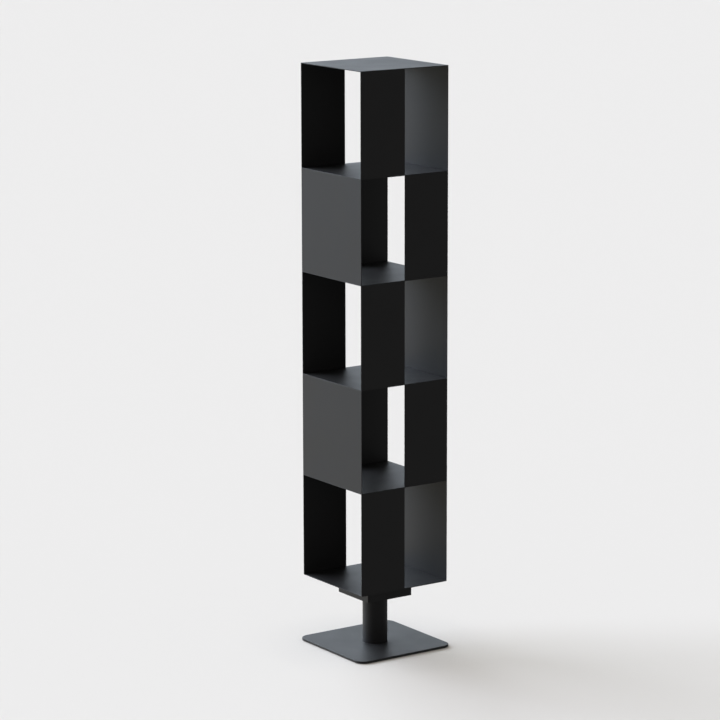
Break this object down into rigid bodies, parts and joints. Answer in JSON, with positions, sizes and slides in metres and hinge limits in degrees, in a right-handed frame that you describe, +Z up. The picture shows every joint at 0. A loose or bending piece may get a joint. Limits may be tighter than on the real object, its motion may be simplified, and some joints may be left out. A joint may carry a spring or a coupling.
{
  "type": "revolving tower bookcase",
  "caption": "Tall slim revolving bookcase: stacked open sheet-steel cubes, closed and open in a checkerboard, turning on a round post over a square base plate.",
  "frame": {"origin": "centre of the base plate, on the floor under its pads", "axes": "+Z up along the swivel axis; -Y is the front; +X is the closed side of the lowest tier"},
  "size_m": [0.325, 0.325, 1.7],
  "materials": {
    "powder_coat": "satin graphite powder coat on mild steel",
    "turned_steel": "fine turned, bare",
    "zinc_plate": "bright zinc plating",
    "bearing_steel": "ground and polished",
    "cage_nylon": "moulded, natural",
    "black_oxide": "black oxide",
    "pad_rubber": "matt"
  },
  "bodies": {
    "base": {"base_plate": "powder_coat", "floor_pads": "pad_rubber", "post_tube": "powder_coat", "post_foot": "turned_steel", "foot_screws": "black_oxide", "upper_bearing_cup": "turned_steel", "upper_bearing_outer_ring": "bearing_steel", "lower_bearing_outer_ring": "bearing_steel"},
    "tower": {"bottom_shelf": "powder_coat", "shelf_2": "powder_coat", "shelf_3": "powder_coat", "shelf_4": "powder_coat", "shelf_5": "powder_coat", "top_panel": "powder_coat", "tier_1_side_wall": "powder_coat", "tier_1_front_wall": "powder_coat", "tier_1_rear_wall": "powder_coat", "tier_2_side_wall": "powder_coat", "tier_2_front_wall": "powder_coat", "tier_2_rear_wall": "powder_coat", "tier_3_side_wall": "powder_coat", "tier_3_front_wall": "powder_coat", "tier_3_rear_wall": "powder_coat", "tier_4_side_wall": "powder_coat", "tier_4_front_wall": "powder_coat", "tier_4_rear_wall": "powder_coat", "tier_5_side_wall": "powder_coat", "tier_5_front_wall": "powder_coat", "tier_5_rear_wall": "powder_coat", "swivel_cover": "powder_coat", "spindle_flange": "zinc_plate", "weld_studs": "zinc_plate", "stud_washers": "zinc_plate", "stud_nuts": "zinc_plate", "spindle": "turned_steel", "circlip": "black_oxide", "upper_bearing_inner_ring": "bearing_steel", "lower_bearing_inner_ring": "bearing_steel"},
    "ball_cages": {"upper_bearing_balls": "bearing_steel", "upper_bearing_cage": "cage_nylon", "lower_bearing_balls": "bearing_steel", "lower_bearing_cage": "cage_nylon"}
  },
  "joints": [
    {"name": "tower_swivel", "type": "hinge", "parent": "base", "child": "tower", "pos_m": [0, 0, 0.1], "axis": [0, 0, 1], "continuous": true},
    {"name": "cage_spin", "type": "hinge", "parent": "base", "child": "ball_cages", "pos_m": [0, 0, 0.1], "axis": [0, 0, 1], "continuous": true}
  ],
  "couplings": [
    {"joint": "cage_spin", "follows": "tower_swivel", "ratio": 0.4}
  ]
}
